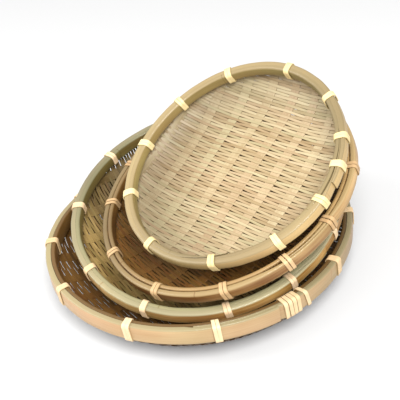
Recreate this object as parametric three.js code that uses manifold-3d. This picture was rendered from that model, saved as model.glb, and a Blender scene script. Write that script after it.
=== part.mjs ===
// A nest of four round bamboo trays (zaru), leaning one in another.
// Each tray is a shallow woven bowl. Its trimmed edge is held between an outer and an inner
// hoop of split bamboo, and cane ties go round both hoops and through the weave below them.
// Millimetres, +Z up, origin under the middle of the largest tray's base, front towards -Y.

import * as THREE from 'three';
import * as BufferGeometryUtils from 'three/addons/utils/BufferGeometryUtils.js';
import Module from 'manifold-3d';

const wasm = await Module();
wasm.setup();

// Trays
const largestRadius = 120;
const largestHeight = 36;
const heightStep = 3;
const baseShare = 0.55;
const bowlRoundness = 1.9;

// Woven sheet. Its thickness is taken over the crests of the weave. The wide warps lie far
// apart and the narrow wefts side by side.
const weaveThickness = 1.8;
const reliefDepth = 0.8;
const warpWidth = 8.2;
const largestWarpPitch = 24.2;
const largestWeftPitch = 3.1;
const edgeBelowHoops = 0.3;
const turnBelowTies = 0.6;

// Hoops
const outerHoopThickness = 3.4;
const innerHoopThickness = 2.6;
const largestHoopHeight = 13;
const hoopHeight = 9;
const smallestHoopHeight = 8.5;

// Ties
const tieWidth = 6;
const tieThickness = 0.9;
const tieCorner = 0.8;
const windingStrandWidth = 4.4;
const windingPitch = 6.2;
const windingTurns = 4;

// Clearances
const fitGap = 0.3;
const seatGap = 0.3;
const settleStop = 0.01;

// Hoop ends: each is thinned over the lap, from its full thickness down to a blunt tip.
const lapSteps = 4;
const lapTipShare = 0.34;

// Section of a split strip, from its flat side (0) to its skin (1), and over its height.
const stripSectionShares = [[0, 0], [0, 1], [0.55, 1], [1, 0.8], [1, 0.2], [0.55, 0]];

// Heights on a hoop's face where another tray may touch it.
const touchShares = [0.2, 0.8];

// Sheen: the skin side of a hoop is smoother than the woven strips.
const roughness = { weave: 0.7, outerHoop: 0.5, innerHoop: 0.55, tie: 0.6 };

// Facets. The relief of the weave reaches as many of the bowl's steps up its side as reliefSteps.
const facets = 48;
const bowlSteps = 6;
const reliefSteps = 4;
const touchPointsAround = 96;
const windingStepsPerTurn = 8;
const windingGapSteps = 4;

const up = new THREE.Vector3(0, 0, 1);

// The four trays from the largest to the smallest. The shift of a rim's middle from the one
// below it is a share of the tray's own radius. A tray leans by leanDegrees towards
// leanTowardDegrees, counted from +X, and all other degrees are counted in the tray's own
// frame. The weave has its pitches as shares of the largest tray's, the direction across its
// warps, and the place of the warp nearest the middle as a share of the warps' pitch. A hoop
// bent by hand is not quite round, so each tray has shallow bulges: how many round the rim,
// how far out as a share of the radius, and where one of them is.
const trays = [
  {
    name: 'largest',
    radiusShare: 1,
    hoopHeight: largestHoopHeight,
    shiftShares: [0, 0],
    leanDegrees: 0,
    leanTowardDegrees: 0,
    weave: { warpPitchShare: 1, weftPitchShare: 1, acrossDegrees: -60, firstWarpShare: 0.17 },
    outerLapDegrees: 262.5,
    innerLapDegrees: 60,
    windingDegrees: 298.5,
    tieDegrees: [22, 53, 84, 114, 145, 175.5, 205.5, 239.5, 270.5, 323, 352.5],
    colors: { weave: 0x8a6a48, outerHoop: 0xc79a6b, innerHoop: 0x9a7a4e, tie: 0xefe3c6 },
    bulges: [{ count: 2, share: 0.0123, degrees: 22.4 }, { count: 3, share: 0.0079, degrees: 44.7 }],
  },
  {
    name: 'large',
    radiusShare: 0.917,
    hoopHeight,
    shiftShares: [0.077, 0.087],
    leanDegrees: 12.3,
    leanTowardDegrees: 243,
    weave: { warpPitchShare: 0.975, weftPitchShare: 0.9, acrossDegrees: -62, firstWarpShare: -0.25 },
    outerLapDegrees: 292.5,
    innerLapDegrees: 105,
    tieDegrees: [23, 50, 77, 105, 133.5, 165.5, 204, 237.5, 270.5, 297, 324.5, 354.5],
    colors: { weave: 0xa8985c, outerHoop: 0xa9946a, innerHoop: 0x94895a, tie: 0xf0e8cf },
    bulges: [{ count: 2, share: 0.0028, degrees: 77 }, { count: 3, share: 0.012, degrees: 32.6 }],
  },
  {
    name: 'small',
    radiusShare: 0.858,
    hoopHeight,
    shiftShares: [0.148, -0.11],
    leanDegrees: 18.4,
    leanTowardDegrees: 208,
    weave: { warpPitchShare: 0.93, weftPitchShare: 0.84, acrossDegrees: -58, firstWarpShare: 0.36 },
    outerLapDegrees: 285,
    innerLapDegrees: 75,
    tieDegrees: [11, 43, 75, 107, 138, 162, 194.5, 229.5, 260.5, 287.5, 311, 340],
    colors: { weave: 0xa07d50, outerHoop: 0xc2a377, innerHoop: 0x97774a, tie: 0xcaa868 },
    bulges: [{ count: 2, share: 0.004, degrees: 34.3 }, { count: 3, share: 0.003, degrees: 11.2 }],
  },
  {
    name: 'smallest',
    radiusShare: 0.75,
    hoopHeight: smallestHoopHeight,
    shiftShares: [0.078, -0.045],
    leanDegrees: 26.8,
    leanTowardDegrees: 216.6,
    weave: { warpPitchShare: 0.9, weftPitchShare: 0.774, acrossDegrees: -48.5, firstWarpShare: 0.126 },
    outerLapDegrees: 292.5,
    innerLapDegrees: 232.5,
    tieDegrees: [8, 42, 78, 109, 139.5, 171, 208.5, 248, 280.5, 307, 326, 341.5],
    colors: { weave: 0xc9ad7d, outerHoop: 0xb7a070, innerHoop: 0x8d7c4e, tie: 0xf4ecd6 },
    bulges: [{ count: 2, share: 0.0023, degrees: 129 }, { count: 3, share: 0.0109, degrees: 61 }],
  },
];

// Sizes of each tray that follow from the values above. Heights are above its base.
trays.forEach((tray, order) => {
  tray.radius = largestRadius * tray.radiusShare;
  tray.height = largestHeight - order * heightStep;
  tray.baseRadius = tray.radius * baseShare;
  tray.wallRadius = tray.radius - outerHoopThickness - fitGap - weaveThickness / 2;
  tray.outerHoopBore = tray.wallRadius + weaveThickness / 2 + fitGap;
  tray.innerHoopRadius = tray.wallRadius - weaveThickness / 2 - fitGap;
  tray.mouthRadius = tray.innerHoopRadius - innerHoopThickness;
  tray.hoopBottom = tray.height - tray.hoopHeight;
  tray.slotBottom = tray.hoopBottom - 2 * fitGap - tieThickness;
  tray.turnHeight = tray.slotBottom - turnBelowTies;
  tray.warpPitch = largestWarpPitch * tray.weave.warpPitchShare;
  tray.weftPitch = largestWeftPitch * tray.weave.weftPitchShare;
  tray.bandDegrees = [...tray.tieDegrees];
  if (tray.windingDegrees !== undefined) {
    for (let turn = 0; turn <= windingTurns; turn += 1) {
      const along = windingPitch * (turn - windingTurns / 2);
      tray.bandDegrees.push(tray.windingDegrees + THREE.MathUtils.radToDeg(along / tray.radius));
    }
  }
});

// How far the middle of a facet lies inside the circle through its corners.
function facetDip(radius) {
  return radius * (1 - Math.cos(Math.PI / facets));
}

// Merged corners only, without faces that shrank to a line at a pole.
function weld(geometry) {
  const bare = geometry.clone();
  bare.deleteAttribute('normal');
  bare.deleteAttribute('uv');
  const merged = BufferGeometryUtils.mergeVertices(bare);
  const index = Array.from(merged.index.array);
  const kept = [];
  for (let i = 0; i < index.length; i += 3) {
    const [a, b, c] = index.slice(i, i + 3);
    if (a !== b && b !== c && c !== a) kept.push(a, b, c);
  }
  merged.setIndex(kept);
  return merged;
}

function toSolid(geometry) {
  const merged = weld(geometry);
  return new wasm.Manifold(new wasm.Mesh({
    numProp: 3,
    vertProperties: new Float32Array(merged.attributes.position.array),
    triVerts: new Uint32Array(merged.index.array),
  }));
}

function toGeometry(solid) {
  const mesh = solid.getMesh();
  const geometry = new THREE.BufferGeometry();
  geometry.setAttribute('position', new THREE.BufferAttribute(mesh.vertProperties, mesh.numProp));
  geometry.setIndex(new THREE.BufferAttribute(mesh.triVerts, 1));
  geometry.computeVertexNormals();
  return geometry;
}

// A skin over a row of rings with equal numbers of points. The row closes on itself,
// or ends in a flat face at each end.
function skin(rings, closed) {
  const count = rings[0].length;
  const positions = rings.flat().flatMap((point) => point.toArray());
  const index = [];
  const spans = closed ? rings.length : rings.length - 1;
  for (let i = 0; i < spans; i += 1) {
    const here = i * count;
    const next = ((i + 1) % rings.length) * count;
    for (let j = 0; j < count; j += 1) {
      const k = (j + 1) % count;
      index.push(here + j, next + k, next + j, here + j, here + k, next + k);
    }
  }
  if (!closed) {
    const last = (rings.length - 1) * count;
    for (let j = 1; j < count - 1; j += 1) {
      index.push(0, j + 1, j, last, last + j, last + j + 1);
    }
  }
  const geometry = new THREE.BufferGeometry();
  geometry.setAttribute('position', new THREE.Float32BufferAttribute(positions, 3));
  geometry.setIndex(index);
  return geometry;
}

// A point of a tray, by its angle about the tray's axis, its radius and its height.
function polar(angle, radius, height) {
  return new THREE.Vector3(radius * Math.cos(angle), radius * Math.sin(angle), height);
}

// How far out a hoop bent by hand lies at an angle, as a share of the round one.
function swell(tray, angle) {
  return tray.bulges.reduce((sum, { count, share, degrees }) => {
    return sum + share * Math.cos(count * (angle - THREE.MathUtils.degToRad(degrees)));
  }, 1);
}

// Moves a point of a round tray to its place in the uneven one.
function uneven(tray, point) {
  const factor = swell(tray, Math.atan2(point.y, point.x));
  return point.set(point.x * factor, point.y * factor, point.z);
}

// One side of the bowl from the base's edge to the upright part of the wall:
// side is 1 for the outside, -1 for the inside and 0 for the middle of the sheet.
function bowlSide(tray, side) {
  const offset = (side * weaveThickness) / 2;
  const floor = weaveThickness / 2 - offset;
  const reach = tray.wallRadius + offset - tray.baseRadius;
  const drop = tray.turnHeight - floor;
  const points = [];
  for (let i = bowlSteps; i >= 0; i -= 1) {
    const turn = (i / bowlSteps) * (Math.PI / 2);
    const across = Math.cos(turn) ** (2 / bowlRoundness);
    const down = Math.sin(turn) ** (2 / bowlRoundness);
    points.push(new THREE.Vector2(tray.baseRadius + reach * across, tray.turnHeight - drop * down));
  }
  return points;
}

// A ring of corners round a tray, each with its place and how far round it lies.
function ring(radius, height) {
  return Array.from({ length: facets + 1 }, (_, i) => {
    const place = polar(((i % facets) / facets) * 2 * Math.PI, radius, height);
    return { turn: (i / facets) * 2 * Math.PI, place };
  });
}

// Triangles between two rows of corners, with the right row on the right hand of somebody who
// walks along them. The measure is how far along its row a corner lies.
function between(right, left, measure) {
  const halfway = (row, i) => (i < row.length - 1 ? row[i][measure] + row[i + 1][measure] : Infinity);
  const places = [];
  let i = 0;
  let j = 0;
  while (i < right.length - 1 || j < left.length - 1) {
    if (halfway(right, i) < halfway(left, j)) {
      places.push(right[i].place, right[i + 1].place, left[j].place);
      i += 1;
    } else {
      places.push(right[i].place, left[j + 1].place, left[j].place);
      j += 1;
    }
  }
  return places;
}

// A corner of the sheet that lay at across, along when the sheet was still flat, lifted off
// the middle of its thickness.
function onSheet(tray, across, along, lift) {
  const inToOut = [...tray.line].reverse();
  let left = Math.hypot(across, along);
  let i = 1;
  while (i < inToOut.length - 1 && left > inToOut[i].distanceTo(inToOut[i - 1])) {
    left -= inToOut[i].distanceTo(inToOut[i - 1]);
    i += 1;
  }
  const outward = inToOut[i].clone().sub(inToOut[i - 1]).normalize();
  const spot = inToOut[i - 1].clone().addScaledVector(outward, left);
  const angle = Math.atan2(along, across) + THREE.MathUtils.degToRad(tray.weave.acrossDegrees);
  const turn = THREE.MathUtils.euclideanModulo(angle, 2 * Math.PI);
  return { across, turn, place: polar(turn, spot.x - outward.y * lift, spot.y + outward.x * lift) };
}

// The inside of the sheet from the middle out to reach: one row of corners for each weft, two
// on each warp that it crosses, high where it goes over the warp and low where it goes under.
function weftRows(tray, reach) {
  const crest = weaveThickness / 2;
  const last = Math.floor(reach / tray.weftPitch);
  const lastWarp = Math.ceil(reach / tray.warpPitch);
  const rows = [];
  for (let weft = -last; weft <= last; weft += 1) {
    const along = weft * tray.weftPitch;
    const end = Math.sqrt(reach ** 2 - along ** 2);
    const row = [onSheet(tray, -end, along, crest)];
    for (let warp = -lastWarp; warp <= lastWarp; warp += 1) {
      const lift = (weft + warp) % 2 === 0 ? crest : crest - reliefDepth;
      for (const side of [-1, 1]) {
        const across = (warp + tray.weave.firstWarpShare) * tray.warpPitch + (side * warpWidth) / 2;
        if (Math.abs(across) < end - tray.weftPitch) row.push(onSheet(tray, across, along, lift));
      }
    }
    row.push(onSheet(tray, end, along, crest));
    rows.push(row);
  }
  return rows;
}

// The woven sheet: a flat base, a bowl that turns up, and an upright edge between the hoops,
// with a slot under the hoops wherever a tie goes through. The relief of the weave is on its
// inside, and it stands on its flat underside.
function wovenBowl(tray) {
  const top = tray.height - edgeBelowHoops;
  const reliefEdge = tray.line.slice(-reliefSteps - 2);
  const reach = reliefEdge.slice(1).reduce((sum, point, i) => sum + point.distanceTo(reliefEdge[i]), 0);
  const rows = weftRows(tray, reach - tray.weftPitch);
  const edge = [...rows.map((row) => row[0]), ...rows.map((row) => row[row.length - 1])];
  edge.push(...rows[0].slice(1, -1), ...rows[rows.length - 1].slice(1, -1));
  edge.sort((a, b) => a.turn - b.turn);
  edge.push({ ...edge[0], turn: edge[0].turn + 2 * Math.PI });
  const rings = [
    edge,
    ...bowlSide(tray, -1).slice(reliefSteps).map((point) => ring(point.x, point.y)),
    ring(tray.wallRadius - weaveThickness / 2, top),
    ring(tray.wallRadius + weaveThickness / 2, top),
    ...bowlSide(tray, 1).reverse().map((point) => ring(point.x, point.y)),
    [{ turn: Math.PI, place: new THREE.Vector3() }],
  ];
  const places = rows.slice(1).flatMap((row, i) => between(rows[i], row, 'across'));
  rings.slice(1).forEach((next, i) => places.push(...between(next, rings[i], 'turn')));
  const sheet = new THREE.BufferGeometry().setFromPoints(places);
  sheet.setIndex(places.map((_, i) => i));
  let solid = toSolid(sheet);
  const slotHeight = tieThickness + 2 * fitGap;
  const slotDepth = tray.radius - tray.mouthRadius;
  const slots = tray.tieDegrees.map((degrees) => [degrees, tieWidth + 2 * fitGap]);
  if (tray.windingDegrees !== undefined) {
    const windingWidth = windingTurns * windingPitch + windingStrandWidth + 2 * fitGap;
    slots.push([tray.windingDegrees, windingWidth]);
  }
  for (const [degrees, width] of slots) {
    const slot = new THREE.BoxGeometry(slotDepth, width, slotHeight);
    slot.translate(tray.mouthRadius + slotDepth / 2, 0, tray.slotBottom + slotHeight / 2);
    slot.rotateZ(THREE.MathUtils.degToRad(degrees));
    solid = solid.subtract(toSolid(slot));
  }
  return toGeometry(solid);
}

// A split strip bent into a hoop, its thinned ends lapped. The flat side lies on flatRadius
// and the skin faces away from the weave: outwards (1) or inwards (-1).
function bentStrip(tray, flatRadius, thickness, facing, lapDegrees) {
  const gapShare = fitGap / thickness;
  const lapTopShare = 1 - lapTipShare - gapShare;
  const step = (2 * Math.PI) / facets;
  const first = Math.round(THREE.MathUtils.degToRad(lapDegrees) / step);
  const rings = [];
  for (let i = 0; i <= facets + lapSteps; i += 1) {
    let from = 0;
    let to = 1;
    if (i <= lapSteps) to = lapTipShare + ((lapTopShare - lapTipShare) * i) / lapSteps;
    if (i >= facets) {
      from = lapTipShare + gapShare + ((lapTopShare - lapTipShare) * (i - facets)) / lapSteps;
    }
    rings.push(stripSectionShares.map(([depthShare, heightShare]) => {
      const depth = thickness * (from + (to - from) * depthShare);
      const height = tray.hoopBottom + tray.hoopHeight * heightShare;
      return polar((first + i) * step, flatRadius + facing * depth, height);
    }));
  }
  if (facing < 0) rings.reverse();
  return skin(rings, false);
}

// The way a strand takes round the hoops, as corners [radius, height]: the inner hoop's face,
// over the top, the outer hoop's face, and back through the slot. standOff is 0 on the side
// next to the hoops and the strand's thickness on the side away from them.
function wayRound(tray, standOff) {
  const inside = tray.mouthRadius - fitGap - facetDip(tray.mouthRadius) - standOff;
  const outside = tray.radius + fitGap + standOff;
  const above = tray.height + fitGap + standOff;
  const below = tray.hoopBottom - fitGap - standOff;
  return [
    [inside, below + tieCorner],
    [inside, above - tieCorner],
    [inside + tieCorner, above],
    [outside - tieCorner, above],
    [outside, above - tieCorner],
    [outside, below + tieCorner],
    [outside - tieCorner, below],
    [inside + tieCorner, below],
  ];
}

// A cane strand round the hoops, as a closed band.
function tieBand(tray) {
  const near = wayRound(tray, 0);
  const far = wayRound(tray, tieThickness);
  const half = tieWidth / 2;
  const rings = near.map(([radius, height], i) => [
    new THREE.Vector3(radius, -half, height),
    new THREE.Vector3(radius, half, height),
    new THREE.Vector3(far[i][0], half, far[i][1]),
    new THREE.Vector3(far[i][0], -half, far[i][1]),
  ]);
  return skin(rings, true);
}

// One long strand wound several times round the lapped ends of the largest outer hoop.
function lapWinding(tray) {
  const near = wayRound(tray, 0);
  const far = wayRound(tray, tieThickness);
  const half = windingStrandWidth / 2;
  const steps = windingTurns * windingStepsPerTurn;
  const rings = [];
  for (let i = 0; i <= steps; i += 1) {
    const corner = i % windingStepsPerTurn;
    const along = windingPitch * (i / windingStepsPerTurn - windingTurns / 2);
    const angle = along / tray.radius;
    rings.push([
      new THREE.Vector3(near[corner][0], -half, near[corner][1]).applyAxisAngle(up, angle),
      new THREE.Vector3(near[corner][0], half, near[corner][1]).applyAxisAngle(up, angle),
      new THREE.Vector3(far[corner][0], half, far[corner][1]).applyAxisAngle(up, angle),
      new THREE.Vector3(far[corner][0], -half, far[corner][1]).applyAxisAngle(up, angle),
    ]);
  }
  console.log(`Least gap of the lap winding to itself: ${leastGap(rings).toFixed(2)} mm`);
  return skin(rings, false);
}

// Least gap between one turn of a winding and the next, measured on points along their edges.
function leastGap(rings) {
  const edge = (corners) => {
    const points = [];
    for (let at = 0; at < rings.length - 1; at += 1 / windingGapSteps) {
      const here = Math.floor(at);
      corners.forEach((corner) => {
        points.push({ at, point: rings[here][corner].clone().lerp(rings[here + 1][corner], at - here) });
      });
    }
    return points;
  };
  const leading = edge([1, 2]);
  const trailing = edge([0, 3]);
  let least = Infinity;
  leading.forEach((from) => {
    trailing.forEach((to) => {
      if (to.at - from.at < windingStepsPerTurn / 2) return;
      least = Math.min(least, from.point.distanceTo(to.point));
    });
  });
  return least;
}

// Middle line of a tray's section, from the trimmed edge down the wall and in to the axis.
function sectionLine(tray) {
  return [
    new THREE.Vector2(tray.wallRadius, tray.height - edgeBelowHoops),
    ...bowlSide(tray, 0).reverse(),
    new THREE.Vector2(0, weaveThickness / 2),
  ];
}

// Points on the surface of a tray, close enough together to find where it touches another.
function surfacePoints(tray) {
  const skinPoints = [...bowlSide(tray, 1), ...bowlSide(tray, -1)];
  touchShares.forEach((share) => {
    const height = tray.hoopBottom + share * tray.hoopHeight;
    skinPoints.push(new THREE.Vector2(tray.radius, height), new THREE.Vector2(tray.mouthRadius, height));
  });
  const points = [];
  for (let i = 0; i < touchPointsAround; i += 1) {
    const angle = (i / touchPointsAround) * 2 * Math.PI;
    skinPoints.forEach((point) => points.push(polar(angle, point.x, point.y)));
  }
  tray.bandDegrees.forEach((degrees) => {
    const angle = THREE.MathUtils.degToRad(degrees);
    const turn = tieWidth / 2 / tray.radius;
    wayRound(tray, tieThickness).forEach(([radius, height]) => {
      points.push(polar(angle - turn, radius, height), polar(angle + turn, radius, height));
    });
  });
  return points.map((point) => uneven(tray, point));
}

// Distance from a point in a tray's own frame to the tray, less than zero inside it.
function distanceTo(tray, point) {
  const angle = Math.atan2(point.y, point.x);
  const spot = new THREE.Vector2(Math.hypot(point.x, point.y) / swell(tray, angle), point.z);
  const onLine = new THREE.Vector2();
  let nearest = Infinity;
  for (let i = 1; i < tray.line.length; i += 1) {
    const from = tray.line[i - 1];
    const along = onLine.copy(tray.line[i]).sub(from);
    const share = ((spot.x - from.x) * along.x + (spot.y - from.y) * along.y) / along.lengthSq();
    const held = THREE.MathUtils.clamp(share, 0, 1);
    const gap = Math.hypot(spot.x - from.x - along.x * held, spot.y - from.y - along.y * held);
    nearest = Math.min(nearest, gap);
  }
  const atTie = tray.bandDegrees.some((degrees) => {
    const apart = Math.abs(angle - THREE.MathUtils.degToRad(degrees)) % (2 * Math.PI);
    return Math.min(apart, 2 * Math.PI - apart) * tray.radius < tieWidth / 2 + fitGap;
  });
  const proud = atTie ? fitGap + tieThickness : 0;
  const halfWidth = (tray.radius - tray.mouthRadius) / 2;
  const across = Math.abs(spot.x - tray.mouthRadius - halfWidth) - halfWidth - proud;
  const upward = Math.abs(spot.y - tray.hoopBottom - tray.hoopHeight / 2) - tray.hoopHeight / 2 - proud;
  const rim = Math.hypot(Math.max(across, 0), Math.max(upward, 0)) + Math.min(Math.max(across, upward), 0);
  return Math.min(nearest - weaveThickness / 2, rim);
}

// Least clearance between two trays where they stand.
function clearance(lower, upper) {
  const toLower = lower.group.matrixWorld.clone().invert().multiply(upper.group.matrixWorld);
  const toUpper = toLower.clone().invert();
  const spot = new THREE.Vector3();
  const fromUpper = upper.points.map((point) => distanceTo(lower, spot.copy(point).applyMatrix4(toLower)));
  const fromLower = lower.points.map((point) => distanceTo(upper, spot.copy(point).applyMatrix4(toUpper)));
  return Math.min(...fromUpper, ...fromLower);
}

// Holds a tray over the one below it, shifted and leaning, and lets it straight down until
// it rests there.
function settle(tray, below) {
  const lean = THREE.MathUtils.degToRad(tray.leanDegrees);
  const toward = THREE.MathUtils.degToRad(tray.leanTowardDegrees);
  const axis = polar(toward, Math.sin(lean), Math.cos(lean));
  const rimCentre = below.rimCentre.clone();
  rimCentre.x += tray.shiftShares[0] * tray.radius;
  rimCentre.y += tray.shiftShares[1] * tray.radius;
  rimCentre.z += below.height + tray.height;
  tray.group.quaternion.setFromUnitVectors(up, axis);
  let room = Infinity;
  while (room > settleStop) {
    tray.group.position.copy(rimCentre).addScaledVector(axis, -tray.height);
    tray.group.updateMatrixWorld(true);
    room = clearance(below, tray) - seatGap;
    rimCentre.z -= Math.max(room, 0);
  }
  tray.rimCentre = rimCentre;
}

// Adds a piece of a tray, bent to the tray's uneven outline, in one of the tray's finishes.
function addPiece(tray, name, geometry, finish) {
  const bent = weld(geometry);
  const corners = bent.attributes.position;
  const corner = new THREE.Vector3();
  for (let i = 0; i < corners.count; i += 1) {
    uneven(tray, corner.fromBufferAttribute(corners, i));
    corners.setXYZ(i, corner.x, corner.y, corner.z);
  }
  bent.computeVertexNormals();
  const color = tray.colors[finish];
  const material = new THREE.MeshStandardMaterial({ color, roughness: roughness[finish], metalness: 0 });
  const mesh = new THREE.Mesh(bent, material);
  mesh.name = `${tray.name}_${name}`;
  tray.group.add(mesh);
}

const nest = new THREE.Group();

trays.forEach((tray, order) => {
  tray.line = sectionLine(tray);
  tray.points = surfacePoints(tray);
  tray.group = new THREE.Group();
  tray.rimCentre = new THREE.Vector3(0, 0, tray.height);
  if (order > 0) settle(tray, trays[order - 1]);

  addPiece(tray, 'woven_bowl', wovenBowl(tray), 'weave');
  const outerHoop = bentStrip(tray, tray.outerHoopBore, outerHoopThickness, 1, tray.outerLapDegrees);
  addPiece(tray, 'outer_hoop', outerHoop, 'outerHoop');
  const innerHoop = bentStrip(tray, tray.innerHoopRadius, innerHoopThickness, -1, tray.innerLapDegrees);
  addPiece(tray, 'inner_hoop', innerHoop, 'innerHoop');
  tray.tieDegrees.forEach((degrees, i) => {
    const tie = tieBand(tray).rotateZ(THREE.MathUtils.degToRad(degrees));
    addPiece(tray, `tie_${String(i + 1).padStart(2, '0')}`, tie, 'tie');
  });
  if (tray.windingDegrees !== undefined) {
    const winding = lapWinding(tray).rotateZ(THREE.MathUtils.degToRad(tray.windingDegrees));
    addPiece(tray, 'lap_winding', winding, 'tie');
  }
  nest.add(tray.group);
});

export default nest;
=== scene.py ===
# A nest of four round bamboo trays (zaru), leaning one in another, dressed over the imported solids.
# Metres, +Z up, in the solids' own frame. The sections follow a tray as it is made: the woven
# sheet, the two hoops, the ties, and then what is peculiar to one tray.

import math
import random

import bmesh
import bpy
import numpy as np
from mathutils import Matrix, Vector, noise


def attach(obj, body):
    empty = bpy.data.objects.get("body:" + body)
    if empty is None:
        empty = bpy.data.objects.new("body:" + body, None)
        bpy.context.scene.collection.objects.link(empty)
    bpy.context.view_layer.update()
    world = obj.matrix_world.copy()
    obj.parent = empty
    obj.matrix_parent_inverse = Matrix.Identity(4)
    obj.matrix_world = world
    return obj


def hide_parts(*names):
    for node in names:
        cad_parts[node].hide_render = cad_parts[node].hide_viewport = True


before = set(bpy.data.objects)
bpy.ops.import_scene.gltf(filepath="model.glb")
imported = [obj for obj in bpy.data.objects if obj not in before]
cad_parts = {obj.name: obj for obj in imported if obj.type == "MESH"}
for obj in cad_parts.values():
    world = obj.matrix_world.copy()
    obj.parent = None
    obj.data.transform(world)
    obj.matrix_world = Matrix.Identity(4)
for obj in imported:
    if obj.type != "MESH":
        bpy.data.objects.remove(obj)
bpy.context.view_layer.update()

# Trays
# Each is a shallow round bowl of woven bamboo with a bound rim, a little out of round, and leans
# loose in the one below it. Where it stands and how big it is are read off its packed bowl and
# outer hoop, so that everything below fits the solids.
SHEET_THICKNESS = 0.0018
RIM_BEYOND_SHEET = 0.0037
WALL_BELOW_HOOPS = 0.0010
SHEET_ABOVE_TRIM = 0.004

# The flat base's radius is a share of the rim's, and the wall rises from it in a rounded curve.
BASE_SHARE = 0.55
BOWL_ROUNDNESS = 1.9
PROFILE_STEPS = 60

# What is read off a packed bowl: the faces of its flat base are the largest ones that look down,
# and its outline is taken at this many angles from the corners as high as its trimmed edge.
BASE_FACE_SHARE = 0.8
FACING_DOWN = -0.5
TRIM_TOLERANCE = 1e-5
OUTLINE_STEPS = 72

# The hoops press the sheet to this share of its thickness, from a little way below them.
RIM_SQUEEZE = 0.45
SQUEEZE_REACH = 0.008


class Tray:
    """A tray's place, sizes and outline. Points of it are given by angle, radius and height."""

    def __init__(self, name):
        self.name = name
        self.matrix = self.stand(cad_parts[f"{name}_woven_bowl"].data)
        sheet = self.own_points("woven_bowl")
        hoop = self.own_points("outer_hoop")
        self.trim = sheet[:, 2].max()
        self.hoop_bottom, self.top = hoop[:, 2].min(), hoop[:, 2].max()
        self.read_outline(sheet[sheet[:, 2] > self.trim - TRIM_TOLERANCE])
        self.press_line()

    def stand(self, bowl):
        """The tray's place and lean. Its origin is the middle of its flat underside."""
        largest = max(face.area for face in bowl.polygons)
        base = [f for f in bowl.polygons
                if f.normal.z < FACING_DOWN and f.area > BASE_FACE_SHARE * largest]
        corners = {tuple(round(c, 6) for c in bowl.vertices[i].co)
                   for f in base for i in f.vertices}
        axis = -sum((f.normal for f in base), Vector()).normalized()
        turn = Vector((0, 0, 1)).rotation_difference(axis).to_matrix().to_4x4()
        return Matrix.Translation(sum(map(Vector, corners), Vector()) / len(corners)) @ turn

    def read_outline(self, edge):
        """How far out the trimmed edge lies, all round, and its share of the mean at each angle."""
        angles = np.arctan2(edge[:, 1], edge[:, 0])
        radii = np.hypot(edge[:, 0], edge[:, 1])
        self.edge_angles = np.linspace(-math.pi, math.pi, OUTLINE_STEPS, endpoint=False)
        apart = np.abs(np.angle(np.exp(1j * (self.edge_angles[:, None] - angles[None]))))
        edge_radii = np.where(apart < 2 * math.pi / OUTLINE_STEPS, radii[None], 0).max(1)
        self.wall = edge_radii.mean() - SHEET_THICKNESS / 2
        self.rim = edge_radii.mean() + RIM_BEYOND_SHEET
        self.edge_shares = edge_radii / edge_radii.mean()

    def press_line(self):
        """The line that the middle of the sheet follows, from the middle of the base outwards."""
        base_radius = self.rim * BASE_SHARE
        wall_foot = self.hoop_bottom - WALL_BELOW_HOOPS
        rise = np.linspace(math.pi / 2, 0, PROFILE_STEPS)
        power = 2 / BOWL_ROUNDNESS
        radius = base_radius + (self.wall - base_radius) * np.cos(rise).clip(0) ** power
        height = wall_foot - (wall_foot - SHEET_THICKNESS / 2) * np.sin(rise) ** power
        radius = np.concatenate([[0], radius, [self.wall]])
        height = np.concatenate([[SHEET_THICKNESS / 2], height, [self.trim + SHEET_ABOVE_TRIM]])
        steps = np.hypot(np.diff(radius), np.diff(height))
        self.line = np.concatenate([[0], np.cumsum(steps)]), radius, height
        self.reach = self.line[0][-1]
        self.grip = self.reach - (self.trim + SHEET_ABOVE_TRIM - self.hoop_bottom)

    def own_points(self, piece):
        """The corners of one of the tray's solids, in the tray's own frame."""
        points = np.array([v.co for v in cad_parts[f"{self.name}_{piece}"].data.vertices])
        back = np.array(self.matrix.inverted())
        return points @ back[:3, :3].T + back[:3, 3]

    def out_of_round(self, angle):
        """How far out the tray reaches at an angle, as a share of a round one."""
        return np.interp(angle, self.edge_angles, self.edge_shares, period=2 * math.pi)

    def points(self, angle, radius, height):
        """Rows of x, y and z in the tray's own frame, its outline as uneven as the solids'."""
        radius = radius * self.out_of_round(angle)
        return np.stack([radius * np.cos(angle), radius * np.sin(angle), height + 0 * angle], 1)

    def on_sheet(self, across, along, lift):
        """Points on the pressed sheet that lay at across, along when it was still flat. The
        hoops squeeze the sheet, so there the points lie closer to its middle."""
        far = np.hypot(across, along)
        lift = lift * np.interp(far, [self.grip - SQUEEZE_REACH, self.grip], [1, RIM_SQUEEZE])
        line, radius, height = self.line
        slope = np.arctan2(np.gradient(height, line), np.gradient(radius, line))
        tilt = np.interp(far, line, slope)
        r = np.interp(far, line, radius) - np.sin(tilt) * lift
        z = np.interp(far, line, height) + np.cos(tilt) * lift
        return self.points(np.arctan2(along, across) + self.weave_turn, r, z)


TRAYS = {name: Tray(name) for name in ("largest", "large", "small", "smallest")}

# Woven sheets
# Each tray's bowl is one woven sheet: wide flat warps with gaps between them, crossed by many
# narrow wefts packed side by side, each over one warp and under the next. It is pressed into a
# bowl while damp, and its edge is trimmed level between the hoops.
WARP_WIDTH = 0.0082
WARP_THICKNESS = 0.0007
WARP_STEP = 0.003
WEFT_THICKNESS = 0.0006
WEFT_STEP = 0.0027
FEWEST_STEPS = 4
MOST_WARPS = 6
STRIP_EDGE = 0.00024
SKIN_SHARE = 0.98
EDGE_CLEARANCE = 0.0008
SHARP = math.radians(35)

# No two strips are quite alike. A tone runs from dark (0) to light (1), a hue is above zero for a
# blush and below it for green, and each strip is cut from another place of a longer one.
WEAVE_SEED = 11
WARP_TONES = (0.3, 0.8)
WARP_HUES = (0, 0, 0.3, -0.3)
WEFT_TONES = (0.15, 0.95)
WEFT_HUES = (0, 0, 0, 0, 0.5, 1, -0.5, -1)
STRIP_STARTS = (0, 8)

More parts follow.
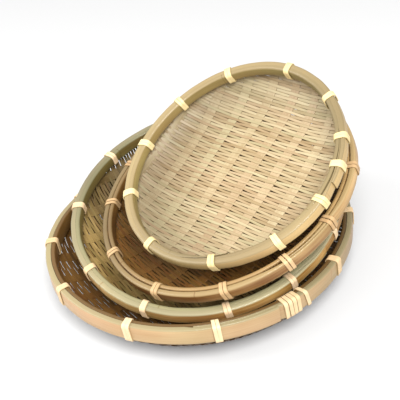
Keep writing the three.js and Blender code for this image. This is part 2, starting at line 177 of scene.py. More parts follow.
# Each tray's weave: the pitch of its warps and wefts, the slit that is left between two wefts
# everywhere, how much it opens midway between the warps, the least share of that opening, the
# share of it all at the rim, the direction across the warps, the place of the warp nearest the
# middle, how much the strips differ in colour, how far the trimmed edge is sunk, the notch beside
# a weft where it comes up from under a warp, and the painted light and shade that scales the
# wall's colour at some degrees round: painted shade where the wall faces away from the light or
# lies under the rims and trays above, and painted light where it is lit.
WEAVES = {
    "largest": dict(
        warp_pitch=0.0242, weft_pitch=0.0031, slit=0.00026, opening=0.0009, least=0.4, at_rim=1.0,
        turn=-60, first_warp=0.0040, hues=0.5, sunk=0.0012, notch=0, painted_shading=((0, 1), (180, 1))),
    "large": dict(
        warp_pitch=0.0236, weft_pitch=0.0028, slit=0.00022, opening=0.0006, least=0.25, at_rim=1.5,
        turn=-62, first_warp=-0.0060, hues=0.4, sunk=0.0018, notch=0.0002,
        painted_shading=((80, 0.6), (115, 0.42), (145, 0.42), (160, 0.68), (176, 1.1), (200, 1.15),
              (250, 0.8))),
    "small": dict(
        warp_pitch=0.0225, weft_pitch=0.0026, slit=0.00030, opening=0.0010, least=0.2, at_rim=0.9,
        turn=-58, first_warp=0.0080, hues=0.5, sunk=0.0006, notch=0.0003, painted_shading=((0, 1), (180, 1))),
    "smallest": dict(
        warp_pitch=0.0218, weft_pitch=0.0024, slit=0.00010, opening=0.0003, least=0.0, at_rim=-0.8,
        turn=-48.5, first_warp=0.00275, hues=0.3, sunk=0.0018, notch=0.0007,
        painted_shading=((80, 0.7), (130, 0.63), (165, 0.58), (215, 0.7), (250, 0.9), (350, 0.93))),
}


def paint(red, green, blue):
    """A colour as a screen shows it, 0 to 255, as the linear one that Blender mixes."""
    shown = [c / 255 for c in (red, green, blue)]
    return (*(c / 12.92 if c < 0.04 else ((c + 0.055) / 1.055) ** 2.4 for c in shown), 1.0)


# The colours of each sheet's strips: most lie between dark and light, some blush and some green,
# and the sides that were cut differ from the skin. The largest and the small sheet are darker and
# browner, partly their own colour and partly painted shade for the shade of the trays above them,
# and the cut sides are darker, partly their own colour and partly painted shade in the gaps
# between strips.
SHEET_COLORS = {
    "largest": dict(
        dark=paint(64, 38, 9), light=paint(116, 82, 37), blush=paint(97, 57, 23),
        green=paint(86, 68, 27), cut=paint(45, 24, 6)),
    "large": dict(
        dark=paint(103, 80, 40), light=paint(153, 128, 77), blush=paint(138, 102, 62),
        green=paint(112, 100, 53), cut=paint(77, 54, 23)),
    "small": dict(
        dark=paint(72, 44, 11), light=paint(115, 80, 32), blush=paint(101, 60, 21),
        green=paint(85, 63, 21), cut=paint(46, 23, 5)),
    "smallest": dict(
        dark=paint(140, 117, 82), light=paint(175, 159, 125), blush=paint(163, 135, 106),
        green=paint(148, 144, 106), cut=paint(92, 66, 36)),
}


def straight_strip(length, width, thickness, pieces, tone, hue,
                   ease=STRIP_EDGE, flat_ease=0, segments=1):
    """A straight split strip along X: flat side at Z 0, skin side up. Its long edges are eased."""
    strip = bmesh.new()
    bmesh.ops.create_cube(strip, size=1)
    bmesh.ops.translate(strip, verts=strip.verts, vec=(0.5, 0, 0.5))
    bmesh.ops.scale(strip, verts=strip.verts, vec=(length, width, thickness))

    def long_edges():
        return [e for e in strip.edges if abs(e.verts[0].co.x - e.verts[1].co.x) > length / 2]

    def eased(edges, amount):
        bmesh.ops.bevel(strip, geom=edges, offset=amount, segments=segments, profile=0.5,
                        affect="EDGES", material=-1)

    eased([e for e in long_edges() if e.verts[0].co.z > thickness - ease], ease)
    if flat_ease:
        eased([e for e in long_edges() if e.verts[0].co.z < flat_ease], flat_ease)
    bmesh.ops.subdivide_edges(strip, edges=long_edges(), cuts=pieces - 1, use_grid_fill=True)
    place = strip.verts.layers.float_vector.new("strip_place")
    tones_and_shade = strip.verts.layers.float_vector.new("strip_tone_and_shade")
    skin = strip.verts.layers.float.new("strip_skin")
    # A factor of painted light and shade on the strip's colour, none until it is set.
    painted_shading = strip.verts.layers.float.new("strip_painted_shading")
    start = Vector((random.uniform(*STRIP_STARTS), 0, 0))
    for vert in strip.verts:
        vert[place] = vert.co + start
        vert[tones_and_shade] = (tone, max(hue, 0), max(-hue, 0))
        vert[skin] = float(vert.co.z > SKIN_SHARE * thickness)
        vert[painted_shading] = 1.0
    return strip


def bend(strip, shape):
    """Lays each corner of a straight strip where shape(along, across, depth) says."""
    corners = np.array([vert.co for vert in strip.verts])
    for vert, spot in zip(strip.verts, shape(*corners.T)):
        vert.co = spot


def round_tray(strip, amounts):
    """For each corner of a bent strip, the amount given for its place in degrees round the tray."""
    x, y = np.array([vert.co[:2] for vert in strip.verts]).T
    return np.interp(np.degrees(np.arctan2(y, x)), *zip(*amounts), period=360)


# Where the painted light and shade on a sheet starts towards the rim, and over how much of the
# tray's radius it grows to its full amount.
PAINTED_SHADING_FROM = 0.3
PAINTED_SHADING_REACH = 0.55


def paint_shading(strip, tray, shading_by_degrees):
    """Paints light and shade on a bent strip near the rim, as a factor on its colour at each degree
    round the tray. The middle of the tray has none of it.
    """
    x, y = np.array([vert.co[:2] for vert in strip.verts]).T
    far = ((np.hypot(x, y) / tray.rim - PAINTED_SHADING_FROM) / PAINTED_SHADING_REACH).clip(0, 1)
    painted_shading = strip.verts.layers.float["strip_painted_shading"]
    for vert, value in zip(strip.verts, 1 + (round_tray(strip, shading_by_degrees) - 1) * far):
        vert[painted_shading] = value


def tray_piece(name, tray, strips, material, solid):
    """Joins bent strips into one piece that rides on its tray and stands for one of its solids."""
    whole = bmesh.new()
    for strip in strips:
        part = bpy.data.meshes.new("strip")
        strip.to_mesh(part)
        strip.free()
        whole.from_mesh(part)
        bpy.data.meshes.remove(part)
    bmesh.ops.transform(whole, matrix=tray.matrix, verts=whole.verts)
    bmesh.ops.recalc_face_normals(whole, faces=whole.faces)
    for face in whole.faces:
        face.smooth = True
    for edge in whole.edges:
        edge.smooth = edge.calc_face_angle(math.pi) < SHARP
    mesh = bpy.data.meshes.new(name)
    whole.to_mesh(mesh)
    whole.free()
    piece = bpy.data.objects.new(name, mesh)
    bpy.context.scene.collection.objects.link(piece)
    mesh.materials.append(material)
    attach(piece, tray.name)
    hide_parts(solid)


def add_node(tree, kind, inputs=(), **settings):
    """A shader node with its settings. An input is a value, or the output that is linked to it."""
    made = tree.nodes.new(kind)
    for key, value in settings.items():
        setattr(made, key, value)
    for key, value in dict(inputs).items():
        if isinstance(value, bpy.types.NodeSocket):
            tree.links.new(value, made.inputs[key])
        else:
            made.inputs[key].default_value = value
    return made


# How fine split bamboo's fibres, streaks, patches of tone and drifts of colour are, in changes per
# metre along, across and through the strip, and how much detail they have.
FIBRE_GRAIN = (70, 5200, 5200), 2.0
STREAK_GRAIN = (22, 1100, 1100), 2.0
PATCH_GRAIN = (38, 90, 90), 1.0
DRIFT_GRAIN = (11, 40, 40), 1.0
PATCH_SHARE = 0.8

# The joints of the culm lie this far apart, each a thin dark line on a slight swelling.
JOINT_SPACING = 0.21
JOINT_LINE = 0.0006
JOINT_SWELLING = 0.004

# The fibres stand less proud than the streaks do, and they make the strip rougher here and there.
FIBRE_RELIEF = 0.7
FIBRE_ROUGHNESS = 0.35
MEAN_ROUGHNESS = 0.5
BUMP_STRENGTH = 0.3
BUMP_DISTANCE = 0.0002
STRIP_SPECULAR = 0.35


def fibre_group():
    """Split bamboo: fibres and streaks along the strip, joints across it, each strip's own tone,
    slow drifts of colour along it, and cut sides that differ from its skin, the colour then scaled
    by the painted light and shade that each corner carries."""
    group = bpy.data.node_groups.new("bamboo_fibres", "ShaderNodeTree")
    for in_out, kind, names in (
            ("INPUT", "NodeSocketColor", ("Dark", "Light", "Blush", "Green", "Cut")),
            ("INPUT", "NodeSocketFloat", ("Fibre", "Streak", "Drift", "Joints", "Cut Share")),
            ("OUTPUT", "NodeSocketColor", ("Color",)),
            ("OUTPUT", "NodeSocketFloat", ("Roughness", "Height"))):
        for name in names:
            group.interface.new_socket(name, in_out=in_out, socket_type=kind)
    given = group.nodes.new("NodeGroupInput").outputs

    def carried(name, output):
        """What each corner of a strip carries under this name."""
        return add_node(group, "ShaderNodeAttribute", attribute_name=name).outputs[output]

    def maths(operation, a, b=0.0, c=0.0):
        return add_node(group, "ShaderNodeMath", {0: a, 1: b, 2: c}, operation=operation).outputs[0]

    def along_strip(scale, detail):
        """Noise that is drawn out along the strip, less than zero in half of the places."""
        scaled = add_node(group, "ShaderNodeVectorMath", {0: place, 1: scale}, operation="MULTIPLY")
        made = add_node(group, "ShaderNodeTexNoise",
                        {"Vector": scaled.outputs[0], "Scale": 1.0, "Detail": detail})
        return maths("SUBTRACT", made.outputs[0], 0.5)

    def held(value):
        return add_node(group, "ShaderNodeClamp", {0: value}).outputs[0]

    def mix(factor, a, b):
        mixed = add_node(group, "ShaderNodeMix", {0: factor, 6: a, 7: b}, data_type="RGBA")
        return mixed.outputs[2]

    place = carried("strip_place", "Vector")
    along = add_node(group, "ShaderNodeSeparateXYZ", {0: place}).outputs[0]
    tone = add_node(group, "ShaderNodeSeparateXYZ", {0: carried("strip_tone_and_shade", "Vector")}).outputs
    fibre = along_strip(*FIBRE_GRAIN)
    streak = along_strip(*STREAK_GRAIN)
    patch = along_strip(*PATCH_GRAIN)
    drift = along_strip(*DRIFT_GRAIN)
    shade = maths("MULTIPLY_ADD", fibre, given["Fibre"], tone[0])
    shade = maths("MULTIPLY_ADD", streak, given["Streak"], shade)
    shade = maths("MULTIPLY_ADD", patch, PATCH_SHARE, shade)
    color = mix(held(shade), given["Dark"], given["Light"])
    blush = maths("MULTIPLY_ADD", drift, given["Drift"], tone[1])
    green = maths("SUBTRACT", tone[2], maths("MULTIPLY", drift, given["Drift"]))
    color = mix(held(blush), color, given["Blush"])
    color = mix(held(green), color, given["Green"])
    not_skin = maths("SUBTRACT", 1.0, carried("strip_skin", "Fac"))
    color = mix(maths("MULTIPLY", not_skin, given["Cut Share"]), color, given["Cut"])

    from_joint = maths("PINGPONG", along, JOINT_SPACING / 2)
    line = maths("SUBTRACT", 1.0, held(maths("DIVIDE", from_joint, JOINT_LINE)))
    swelling = maths("SUBTRACT", 1.0, held(maths("DIVIDE", from_joint, JOINT_SWELLING)))
    color = mix(maths("MULTIPLY", line, given["Joints"]), color, given["Dark"])
    # The colour is scaled by the painted light and shade that each corner carries.
    painted_shading_node = add_node(group, "ShaderNodeVectorMath",
                     {0: color, "Scale": carried("strip_painted_shading", "Fac")}, operation="SCALE")
    raised = maths("MULTIPLY_ADD", fibre, FIBRE_RELIEF, streak)
    height = maths("ADD", raised, maths("MULTIPLY", swelling, given["Joints"]))
    rough = maths("MULTIPLY_ADD", fibre, FIBRE_ROUGHNESS, MEAN_ROUGHNESS)
    out = group.nodes.new("NodeGroupOutput")
    for name, value in (("Color", painted_shading_node.outputs[0]), ("Roughness", rough), ("Height", height)):
        group.links.new(value, out.inputs[name])
    return group


FIBRES = fibre_group()


def bamboo_material(name, colors, coat=0.0, **amounts):
    """Split bamboo in the given colours. The amounts are the group's inputs, by their names."""
    material = bpy.data.materials.new(name)
    material.use_nodes = True
    tree = material.node_tree
    shader = tree.nodes["Principled BSDF"]
    grain = add_node(tree, "ShaderNodeGroup", node_tree=FIBRES)
    for key, value in colors.items():
        grain.inputs[key.title()].default_value = value
    for key, value in amounts.items():
        grain.inputs[key.replace("_", " ").title()].default_value = value
    raised = add_node(tree, "ShaderNodeBump", {
        "Height": grain.outputs["Height"], "Strength": BUMP_STRENGTH, "Distance": BUMP_DISTANCE})
    tree.links.new(grain.outputs["Color"], shader.inputs["Base Color"])
    tree.links.new(grain.outputs["Roughness"], shader.inputs["Roughness"])
    tree.links.new(raised.outputs["Normal"], shader.inputs["Normal"])
    shader.inputs["Coat Weight"].default_value = coat
    shader.inputs["Specular IOR Level"].default_value = STRIP_SPECULAR
    return material


CUT_TOLERANCE = 1e-7


def trimmed(strip, tray, weave):
    """Cuts off what stands above the tray's trimmed edge and closes the cut."""
    bmesh.ops.bisect_plane(strip, geom=[*strip.verts, *strip.edges, *strip.faces],
                           plane_co=(0, 0, tray.trim - weave["sunk"]), plane_no=(0, 0, 1),
                           dist=CUT_TOLERANCE, clear_outer=True)
    bmesh.ops.holes_fill(strip, edges=strip.edges, sides=0)
    return strip


# A weft beds on the warps, a little domed over each. Its edges wander by a share of its width,
# and the noise that they follow changes this often to the metre, and this far from one weft to
# the next.
WEFT_SINK = 0.68
WEFT_DOME = 0.12
WEFT_WANDER = 0.1
WANDERS_PER_METRE = 45
WANDER_ROW = 3.7

# A slit varies in width along it, and a few open wide midway between two warps. Notches lie
# beside the warps, and near the rim the slits come to have their width there.
SLIT_VARIATION = 1.4
SLIT_LEAST = 0.2
SLIT_CHANGES_PER_METRE = 90
SLIT_ROW = 5.3
SLIT_SEED = 9
SLIT_RARITY = 3
SLIT_REACH = 0.0040
NOTCH_REACH = 0.0055
NOTCH_LEAST = 0.4
BELOW_HOOPS = 0.006


def noise_along(across, per_metre, row, seed):
    """Smooth noise about zero along a row of the weave."""
    return np.array([noise.noise(Vector((u * per_metre, row, seed))) for u in across])


def weft_edge(tray, weave, order, across, seed):
    """Where the slit before a weft lies at each place across the warps, and how wide it is."""
    pitch, first = weave["warp_pitch"], weave["first_warp"]
    wander = noise_along(across, WANDERS_PER_METRE, order * WANDER_ROW, seed)
    uneven = noise_along(across, SLIT_CHANGES_PER_METRE, order * SLIT_ROW, seed + SLIT_SEED)
    middle = (order - 0.5 + WEFT_WANDER * wander) * weave["weft_pitch"]

    # Between each two warps, a chance from 0 to 1. It is read from the middle of a noise cell.
    span = np.floor((across - first) / pitch)
    cells = [noise.cell(Vector((order + 0.5, s + 0.5, seed + 0.5))) for s in span]
    chance = (1 + np.array(cells)) / 2
    from_midway = across - first - (span + 0.5) * pitch
    share = weave["least"] + (1 - weave["least"]) * chance**SLIT_RARITY
    opening = weave["opening"] * share * (1 - (from_midway / SLIT_REACH) ** 2).clip(0)

    # The notch is widest at the warp and comes to nothing at its reach.
    past_warp = from_midway + (pitch - WARP_WIDTH) / 2
    dives = (span + order) % 2 == 0
    notch = np.where(past_warp > -WEFT_STEP, 1 - past_warp / NOTCH_REACH, 0).clip(0, 1)
    opening += weave["notch"] * dives * notch * (NOTCH_LEAST + chance)
    wall = np.interp(np.hypot(across, middle), [tray.rim * BASE_SHARE, tray.grip - BELOW_HOOPS],
                     [1, weave["at_rim"]])
    return middle, wall * (weave["slit"] * (1 + SLIT_VARIATION * uneven).clip(SLIT_LEAST) + opening)


def weft(tray, weave, order, half_length, seed):
    """One weft, bent over and under the warps and laid on the pressed sheet."""
    pitch, first = weave["warp_pitch"], weave["first_warp"]
    hue = weave["hues"] * random.choice(WEFT_HUES)
    pieces = max(FEWEST_STEPS, round(2 * half_length / WEFT_STEP))
    strip = straight_strip(2 * half_length, weave["weft_pitch"], WEFT_THICKNESS, pieces,
                           random.uniform(*WEFT_TONES), hue)
    lift = WEFT_SINK * (WARP_THICKNESS + WEFT_THICKNESS) / 2

    def shape(along, across, depth):
        u = along - half_length
        steps = np.unique(np.round(u, 7))
        low, low_slit = weft_edge(tray, weave, order, steps, seed)
        high, high_slit = weft_edge(tray, weave, order + 1, steps, seed)
        low, high = low + low_slit / 2, high - high_slit / 2
        width = np.interp(u, steps, high - low)
        v = np.interp(u, steps, (high + low) / 2) + across / weave["weft_pitch"] * width

        # It is level over and under a warp, and swings from one side to the other between them.
        nearest = np.round((u - first) / pitch)
        away = np.abs(u - first - nearest * pitch)
        free = ((away - WARP_WIDTH / 2) / (pitch / 2 - WARP_WIDTH / 2)).clip(0, 1)
        dome = WEFT_DOME * (1 - (away / (WARP_WIDTH / 2)) ** 2).clip(0)
        side = np.where((nearest + order) % 2 == 0, 1, -1)
        wave = side * lift * (np.cos(free * math.pi / 2) + dome)
        return tray.on_sheet(u, v, wave + depth - WEFT_THICKNESS / 2)

    bend(strip, shape)
    paint_shading(strip, tray, weave["painted_shading"])
    return trimmed(strip, tray, weave)


def warp(tray, weave, order, half_length):
    """One warp, almost flat, because the narrow wefts bend round it."""
    middle = weave["first_warp"] + order * weave["warp_pitch"]
    pieces = max(FEWEST_STEPS, round(2 * half_length / WARP_STEP))
    strip = straight_strip(2 * half_length, WARP_WIDTH, WARP_THICKNESS, pieces,
                           random.uniform(*WARP_TONES), random.choice(WARP_HUES))
    bend(strip, lambda along, across, depth: tray.on_sheet(
        middle + across, along - half_length, depth - WARP_THICKNESS / 2))
    paint_shading(strip, tray, weave["painted_shading"])
    return trimmed(strip, tray, weave)


for seed, (name, weave) in enumerate(WEAVES.items()):
    tray = TRAYS[name]
    tray.weave_turn = math.radians(weave["turn"])
    random.seed(WEAVE_SEED + seed)
    material = bamboo_material(f"{name}_weave", SHEET_COLORS[name], fibre=0.45, streak=0.9,
                               drift=0.6, joints=0.25, cut_share=0.5)
    inside = tray.reach - SHEET_ABOVE_TRIM - EDGE_CLEARANCE
    wefts, warps = [], []
    last = int(inside / weave["weft_pitch"])
    for order in range(-last, last + 1):
        off = min(abs(order * weave["weft_pitch"]) + weave["weft_pitch"] / 2, inside)
        wefts.append(weft(tray, weave, order, math.sqrt(tray.reach**2 - off**2), seed))
    for order in range(-MOST_WARPS, MOST_WARPS + 1):
        off = abs(weave["first_warp"] + order * weave["warp_pitch"]) + WARP_WIDTH / 2
        if off < inside:
            warps.append(warp(tray, weave, order, math.sqrt(tray.reach**2 - off**2)))
    tray_piece(f"{name}_wefts", tray, wefts, material, f"{name}_woven_bowl")
    tray_piece(f"{name}_warps", tray, warps, material, f"{name}_woven_bowl")

# Hoops
# Two strips of thicker split bamboo are bent round each trimmed edge, one outside and one
# inside, with their skin away from the weave. The ends of each are thinned and lapped. Their flat
# sides bite into the damp weave, to this far from the middle of the sheet.
HOOP_BITE = 0.00045
HOOP_STEP = 0.0022
HOOP_EASE_STEPS = 3
HOOP_SEED = 40

# The lapped ends of a hoop as shares of its thickness between which the strip lies, at degrees
# counted along it. Both ends of a plain lap are pared to a sliver.
PLAIN_LAP = ((0, 0, 0.08), (24, 0, 0.93), (26, 0, 1), (358, 0, 1), (360, 0.1, 1), (384, 0.94, 1))

# Each tray's hoops: how much their edges are eased on the skin side and on the flat side, how
# nearly they meet over the trimmed edge, how light their skin is at some degrees round the tray,
# which on the large and the small tray is painted light and shade, the painted light and shade
# that scales their colour at some degrees round the tray, and for the outer and the inner one its
# thickness, where the strip starts, in degrees, and its lapped ends.
HOOPS = {
    "largest": dict(
        skin_ease=0.0010, flat_ease=0.0003, closed=0.7, tones_and_shade=((0, 0.55),),
        painted_shading=((60, 1), (155, 1.1), (183, 1.3), (253, 1.12), (335, 0.85)),
        outer=(0.0041, 263, ((0, 0, 0.28), (28, 0, 0.36), (32, 0, 1), (357, 0, 1),
                             (360, 0.30, 1), (389.5, 0.38, 1))),
        inner=(0.0029, 60, PLAIN_LAP)),
    "large": dict(
        skin_ease=0.0014, flat_ease=0.0002, closed=1.0,
        tones_and_shade=((60, 0.4), (180, 0.4), (216, 0.85), (240, 0.2), (290, 0.1)),
        painted_shading=((60, 1), (150, 0.72), (179, 1), (250, 1.2), (288, 1.6), (330, 1.5)),
        outer=(0.0041, 292.5, PLAIN_LAP),
        inner=(0.0032, 105, PLAIN_LAP)),
    "small": dict(
        skin_ease=0.0014, flat_ease=0.0009, closed=0.2,
        tones_and_shade=((60, 0.6), (180, 0.09), (250, 0.05), (290, 0.25), (325, 0.75)),
        painted_shading=((60, 1.2), (178, 0.68), (237, 1.2), (275, 1.25), (332, 1.3)),
        outer=(0.0041, 287, ((0, 0.1, 0.42), (10, 0.14, 0.5), (26, 0, 0.62), (35, 0, 1),
                             (348, 0, 1), (360, 0.52, 1), (386, 0.74, 1))),
        inner=(0.0032, 75, PLAIN_LAP)),
    "smallest": dict(
        skin_ease=0.0015, flat_ease=0.0001, closed=1.0, tones_and_shade=((0, 0.55),),
        painted_shading=((60, 1.06), (160, 1.22), (238, 0.78), (293, 1.1), (350, 0.78)),
        outer=(0.0041, 316.5, ((0, 0.62, 0.95), (9, 0.5, 1), (24, 0.22, 1), (30, 0, 1),
                               (347, 0, 1), (352, 0.32, 0.92), (360, 0.38, 0.58),
                               (369, 0.22, 0.46), (384, 0.04, 0.2))),
        inner=(0.0032, 232.5, PLAIN_LAP)),
}

# The colours of the outer and the inner hoop of each tray. Both hoops keep their skin. The small
# tray's outer skin is darker and browner, partly its own colour and partly painted shade where
# the face turns down towards the floor.
HOOP_COLORS = {
    "largest": dict(
        outer=dict(dark=paint(139, 106, 69), light=paint(171, 145, 108), blush=paint(163, 129, 97),
                   green=paint(149, 137, 95), cut=paint(124, 116, 85)),
        inner=dict(dark=paint(74, 49, 18), light=paint(108, 77, 36), blush=paint(98, 60, 27),
                   green=paint(86, 68, 30), cut=paint(84, 62, 30))),
    "large": dict(
        outer=dict(dark=paint(110, 77, 34), light=paint(196, 160, 102), blush=paint(136, 94, 52),
                   green=paint(122, 104, 52), cut=paint(125, 122, 96)),
        inner=dict(dark=paint(92, 76, 36), light=paint(134, 114, 63), blush=paint(120, 88, 52),
                   green=paint(104, 98, 54), cut=paint(126, 121, 91))),
    "small": dict(
        outer=dict(dark=paint(84, 48, 10), light=paint(168, 138, 92), blush=paint(108, 74, 28),
                   green=paint(100, 78, 30), cut=paint(133, 114, 78)),
        inner=dict(dark=paint(95, 63, 25), light=paint(153, 112, 54), blush=paint(136, 90, 44),
                   green=paint(112, 95, 44), cut=paint(133, 109, 71))),
    "smallest": dict(
        outer=dict(dark=paint(147, 121, 75), light=paint(186, 159, 109), blush=paint(172, 142, 99),
                   green=paint(157, 143, 90), cut=paint(126, 111, 79)),
        inner=dict(dark=paint(98, 83, 44), light=paint(134, 119, 73), blush=paint(124, 94, 58),
                   green=paint(106, 100, 56), cut=paint(132, 115, 82))),
}


def hoop(tray, sides, facing, thickness, start_degrees, ends):
    """A split strip bent round the tray. Facing is 1 with its skin outwards and -1 inwards."""
    height = tray.top - tray.hoop_bottom
    flat_radius = tray.wall + facing * HOOP_BITE
    turns, bottoms, tops = np.array(ends).T
    length = math.radians(turns[-1]) * flat_radius
    strip = straight_strip(length, height, thickness, round(length / HOOP_STEP), 0, 0,
                           sides["skin_ease"], sides["flat_ease"], HOOP_EASE_STEPS)

    def shape(along, across, depth):
        turned = along / flat_radius
        bottom = np.interp(np.degrees(turned), turns, bottoms)
        top = np.interp(np.degrees(turned), turns, tops)
        out = bottom * thickness + (top - bottom) * depth
        lean = sides["closed"] * HOOP_BITE * (0.5 + across / height)
        return tray.points(math.radians(start_degrees) + turned,
                           flat_radius + facing * (out - lean),
                           (tray.top + tray.hoop_bottom) / 2 + across)

    bend(strip, shape)
    # Painted light and shade on the hoop at some degrees round the tray, as a factor on its colour.
    paint_shading(strip, tray, sides["painted_shading"])
    # Its tone round the tray, which on the large and the small tray is painted light and shade.
    tones_and_shade = strip.verts.layers.float_vector["strip_tone_and_shade"]
    for vert, tone in zip(strip.verts, round_tray(strip, sides["tones_and_shade"])):
        vert[tones_and_shade] = (tone, 0, 0)
    return strip


for seed, (name, sides) in enumerate(HOOPS.items()):
    tray = TRAYS[name]
    random.seed(HOOP_SEED + seed)
    for side, facing in (("outer", 1), ("inner", -1)):
        material = bamboo_material(f"{name}_{side}_hoop_bamboo", HOOP_COLORS[name][side],
                                   coat=0.15, fibre=0.4, streak=0.8, drift=2.2, joints=0.7,
                                   cut_share=0.8)
        strip = hoop(tray, sides, facing, *sides[side])
        tray_piece(f"{name}_{side}_hoop_strip", tray, [strip], material,
                   f"{name}_{side}_hoop")

# Ties
# A strand of peeled cane goes twice round both hoops and through the weave just below them, and
# its ends are tucked in underneath. There are eleven or twelve such ties on each rim.
STRAND_THICKNESS = 0.0007
STRAND_CLEARANCE = 0.0003
STRAND_STEP = 0.0008
STRAND_EDGE = 0.00015
ROUNDING = 1e-9
CORNER_STEPS = 9
FOOT_CORNER = 0.0012

# No two ties are quite alike: how wide the strand is against its tray's, how far it slants over
# one turn, how much its turns spread towards the top, and how light it is.
TIE_TURNS = 2
TIE_SEED = 70
TIE_WIDTHS = (0.9, 1.06)
TIE_SLANTS = (-0.0004, 0.0004)
TIE_SPLAYS = (-0.1, 0.15)
TIE_TONES = (0.35, 0.9)

# Each tray's ties: the strand's width, the gap between its turns, how tightly it bends over the
# rim, and its colours.
TIES = {
    "largest": dict(width=0.0028, gap=0.0, corner=0.0019, color=dict(
        dark=paint(185, 153, 108), light=paint(211, 186, 148), blush=paint(205, 168, 128),
        green=paint(189, 178, 129), cut=paint(162, 135, 95))),
    "large": dict(width=0.0026, gap=0.0, corner=0.0024, color=dict(
        dark=paint(193, 162, 118), light=paint(221, 195, 161), blush=paint(215, 175, 136),
        green=paint(197, 184, 136), cut=paint(171, 142, 102))),
    "small": dict(width=0.0027, gap=0.0005, corner=0.0024, color=dict(
        dark=paint(156, 122, 80), light=paint(187, 157, 116), blush=paint(178, 137, 100),
        green=paint(156, 140, 98), cut=paint(102, 74, 41))),
    "smallest": dict(width=0.0027, gap=0.0, corner=0.0026, color=dict(
        dark=paint(191, 168, 115), light=paint(217, 198, 151), blush=paint(211, 180, 132),
        green=paint(200, 192, 134), cut=paint(171, 150, 102))),
}


def way_round(tray, clearance, corner):
    """The strand's way round both hoops, from under them up the inside and down the outside, with
    corners of the given radius at the top: lengths along it, radii, heights, and the direction
    outwards."""
    inner = tray.wall - HOOP_BITE - HOOPS[tray.name]["inner"][0] - clearance
    outer = tray.wall + HOOP_BITE + HOOPS[tray.name]["outer"][0] + clearance
    low, high = tray.hoop_bottom - clearance, tray.top + clearance
    foot = FOOT_CORNER
    corners = [(inner + foot, low + foot, foot, 270, 180),
               (inner + corner, high - corner, corner, 180, 90),
               (outer - corner, high - corner, corner, 90, 0),
               (outer - foot, low + foot, foot, 0, -90)]
    path = [((inner + outer) / 2, low, 270)]
    for r, z, radius, start, end in corners:
        for a in np.radians(np.linspace(start, end, CORNER_STEPS)):
            path.append((r + radius * math.cos(a), z + radius * math.sin(a), math.degrees(a)))
    path.append(((inner + outer) / 2, low, -90))
    r, z, away = np.array(path).T
    steps = np.concatenate([[0], np.cumsum(np.hypot(np.diff(r), np.diff(z)))])
    return steps, r, z, np.radians(away)


def wound_strand(tray, angle, width, corner, offsets, slant, splay, tone):
    """A strand wound round the hoops. The offsets are where along the rim each turn begins, and
    the last of them where the strand ends, from the inside bottom of the hoops round to it."""
    steps, radii, heights, away = way_round(tray, STRAND_CLEARANCE, corner)
    round_once = steps[-1]
    turns = len(offsets) - 1
    length = turns * round_once
    strip = straight_strip(length, width, STRAND_THICKNESS, round(length / STRAND_STEP), tone, 0,
                           STRAND_EDGE)

    def shape(along, across, depth):
        turn = np.minimum(np.floor(along / round_once + ROUNDING), turns - 1)
        at = along - turn * round_once
        aim = np.interp(at, steps, away)
        r = np.interp(at, steps, radii) + depth * np.cos(aim)
        z = np.interp(at, steps, heights) + depth * np.sin(aim)
        high = (z - tray.hoop_bottom) / (tray.top - tray.hoop_bottom)
        side = np.interp(along / round_once, range(turns + 1), offsets) * (1 + splay * (high - 0.5))
        side += slant * (at / round_once - 0.5) + across
        return tray.points(angle + side / tray.rim, r, z)

    bend(strip, shape)
    return strip


def angle_round(tray, solid):
    """Where one of the tray's solids lies, as its angle round the tray."""
    middle = tray.own_points(solid).mean(0)
    return math.atan2(middle[1], middle[0])


for seed, (name, tie) in enumerate(TIES.items()):
    tray = TRAYS[name]
    random.seed(TIE_SEED + seed)
    material = bamboo_material(f"{name}_cane", tie["color"], fibre=0.4, streak=0.6, drift=0.8,
                               joints=0.0, cut_share=0.5)
    nodes = sorted(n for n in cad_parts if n.startswith(f"{name}_tie_"))
    for node in nodes:
        width = tie["width"] * random.uniform(*TIE_WIDTHS)
        pitch = width + tie["gap"]
        offsets = [(turn - TIE_TURNS / 2) * pitch for turn in range(TIE_TURNS + 1)]
        strand = wound_strand(tray, angle_round(tray, node.removeprefix(f"{name}_")), width,
                              tie["corner"], offsets, random.uniform(*TIE_SLANTS),
                              random.uniform(*TIE_SPLAYS), random.uniform(*TIE_TONES))
        tray_piece(f"{node}_strand", tray, [strand], material, node)

# Lap winding of the largest tray
# The lapped ends of the largest outer hoop are long, so a longer strand of the same cane is wound
# round both hoops there, several turns side by side. The offsets say where along the rim each of
# its turns begins, and the last one where it ends.
WINDING_WIDTH = 0.0031
WINDING_OFFSETS = (-0.0094, -0.0062, -0.0022, 0.0010, 0.0046, 0.0142)
WINDING_TONE = 0.6
WINDING_SEED = 90
tray, tie = TRAYS["largest"], TIES["largest"]
random.seed(WINDING_SEED)
winding_material = bamboo_material("largest_winding_cane", tie["color"], fibre=0.4, streak=0.6,
                                   drift=0.8, joints=0.0, cut_share=0.7)
winding = wound_strand(tray, angle_round(tray, "lap_winding"), WINDING_WIDTH, tie["corner"],
                       WINDING_OFFSETS, 0.0, 0.0, WINDING_TONE)
tray_piece("largest_winding_strand", tray, [winding], winding_material,
           "largest_lap_winding")

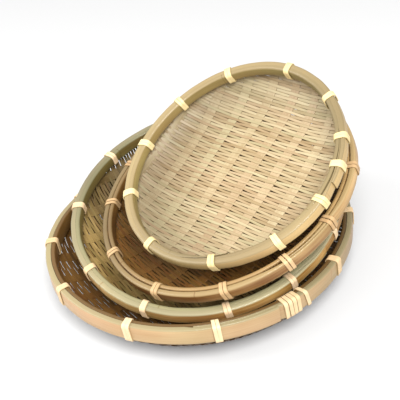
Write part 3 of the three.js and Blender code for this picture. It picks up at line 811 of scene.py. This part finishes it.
# Floor
# A dull white table top, on which the nest stands. It lies a little under the largest tray's
# base, so that no two faces share one plane.
FLOOR_SIZE = 6.0
FLOOR_DROP = 0.0004
FLOOR_COLOR = (0.5, 0.5, 0.5, 1)
FLOOR_ROUGHNESS = 0.9
table = bmesh.new()
bmesh.ops.create_grid(table, x_segments=1, y_segments=1, size=FLOOR_SIZE / 2)
bmesh.ops.translate(table, verts=table.verts, vec=(0, 0, -FLOOR_DROP))
floor_mesh = bpy.data.meshes.new("floor")
table.to_mesh(floor_mesh)
table.free()
floor = bpy.data.objects.new("floor", floor_mesh)
bpy.context.scene.collection.objects.link(floor)
floor_material = bpy.data.materials.new("white_table")
floor_material.use_nodes = True
floor_shader = floor_material.node_tree.nodes["Principled BSDF"]
floor_shader.inputs["Base Color"].default_value = FLOOR_COLOR
floor_shader.inputs["Roughness"].default_value = FLOOR_ROUGHNESS
floor_mesh.materials.append(floor_material)

# Light
# Even light from all round, a large soft light above the front and a weaker one on the left,
# both turned to the middle of the nest's base.
SURROUND_COLOR = (1, 1, 1, 1)
SURROUND_STRENGTH = 0.8
LIGHT_SIZE = 1.2
world = bpy.data.worlds.new("studio")
bpy.context.scene.world = world
world.use_nodes = True
surround = world.node_tree.nodes["Background"]
surround.inputs["Color"].default_value = SURROUND_COLOR
surround.inputs["Strength"].default_value = SURROUND_STRENGTH


def soft_light(name, place, power):
    lamp = bpy.data.lights.new(name, "AREA")
    lamp.shape = "DISK"
    lamp.size = LIGHT_SIZE
    lamp.energy = power
    made = bpy.data.objects.new(name, lamp)
    made.location = place
    made.rotation_euler = (-Vector(place)).to_track_quat("-Z", "Y").to_euler()
    bpy.context.scene.collection.objects.link(made)


soft_light("key", (0.2, -1.2, 1.5), 66)
soft_light("side", (-1.6, 0.2, 1.1), 26)

# Camera
# It looks down on the nest from the front, turned a little about its own line of sight, as in
# the photograph. Angles are in radians.
CAMERA_TARGET = Vector((0.00454, 0, 0.057636))
CAMERA_DISTANCE = 0.65
CAMERA_ELEVATION = 0.60869
CAMERA_ROLL = -0.1656
CAMERA_LENS = 75.907
CAMERA_SENSOR = 36
back = Vector((0, -math.cos(CAMERA_ELEVATION), math.sin(CAMERA_ELEVATION)))
level_right = Vector((1, 0, 0))
level_up = back.cross(level_right)
right = level_right * math.cos(CAMERA_ROLL) + level_up * math.sin(CAMERA_ROLL)
aim = Matrix((right, back.cross(right), back)).transposed().to_4x4()
camera = bpy.data.objects.new("camera", bpy.data.cameras.new("camera"))
camera.data.lens = CAMERA_LENS
camera.data.sensor_width = CAMERA_SENSOR
camera.matrix_world = Matrix.Translation(CAMERA_TARGET + back * CAMERA_DISTANCE) @ aim
bpy.context.scene.collection.objects.link(camera)
bpy.context.scene.camera = camera
bpy.context.scene.view_settings.view_transform = "Standard"
